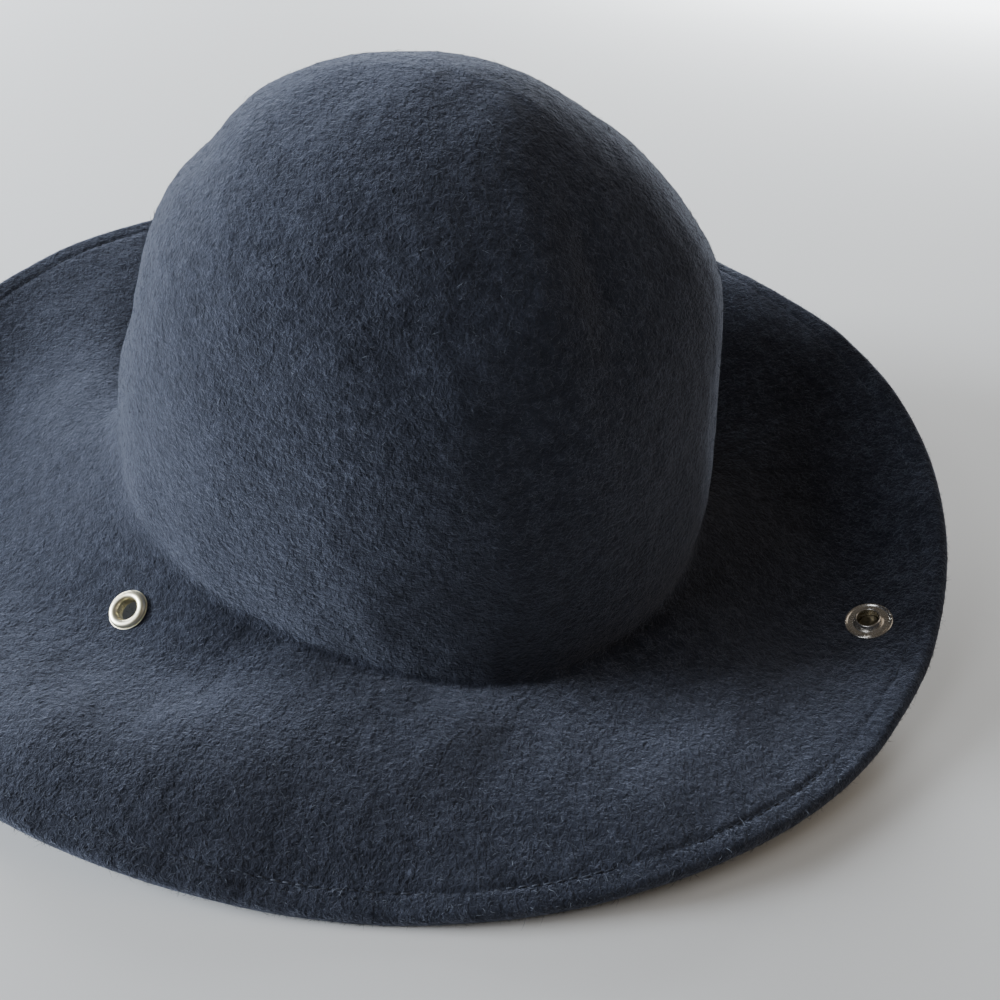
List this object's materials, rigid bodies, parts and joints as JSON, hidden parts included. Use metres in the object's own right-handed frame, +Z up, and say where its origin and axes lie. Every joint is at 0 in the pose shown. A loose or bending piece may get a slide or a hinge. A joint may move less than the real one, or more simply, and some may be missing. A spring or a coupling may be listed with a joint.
{
  "type": "wide-brim felt hat",
  "caption": "Wide-brim wool felt hat with an open round crown, a turned-under stitched brim edge, an eyelet beside the crown and half of a snap fastener near the brim's edge.",
  "frame": {"origin": "middle of the hat's outline seen from above, on the plane it rests on", "axes": "+X along the crown's long oval, towards the side of the brim with the snap; +Y towards the turned-up side of the brim; +Z up out of the crown's top"},
  "size_m": [0.3839, 0.3188, 0.1676],
  "materials": {
    "navy_felt": "brushed wool felt, matt, dark navy",
    "pale_brass": "polished, pale gold",
    "nickel": "polished nickel, slightly worn",
    "dull_brass": "dull, brownish"
  },
  "bodies": {
    "root": {"felt_body": "navy_felt", "brim_eyelet": "pale_brass", "snap_stud": "nickel", "snap_post": "dull_brass"}
  },
  "joints": []
}
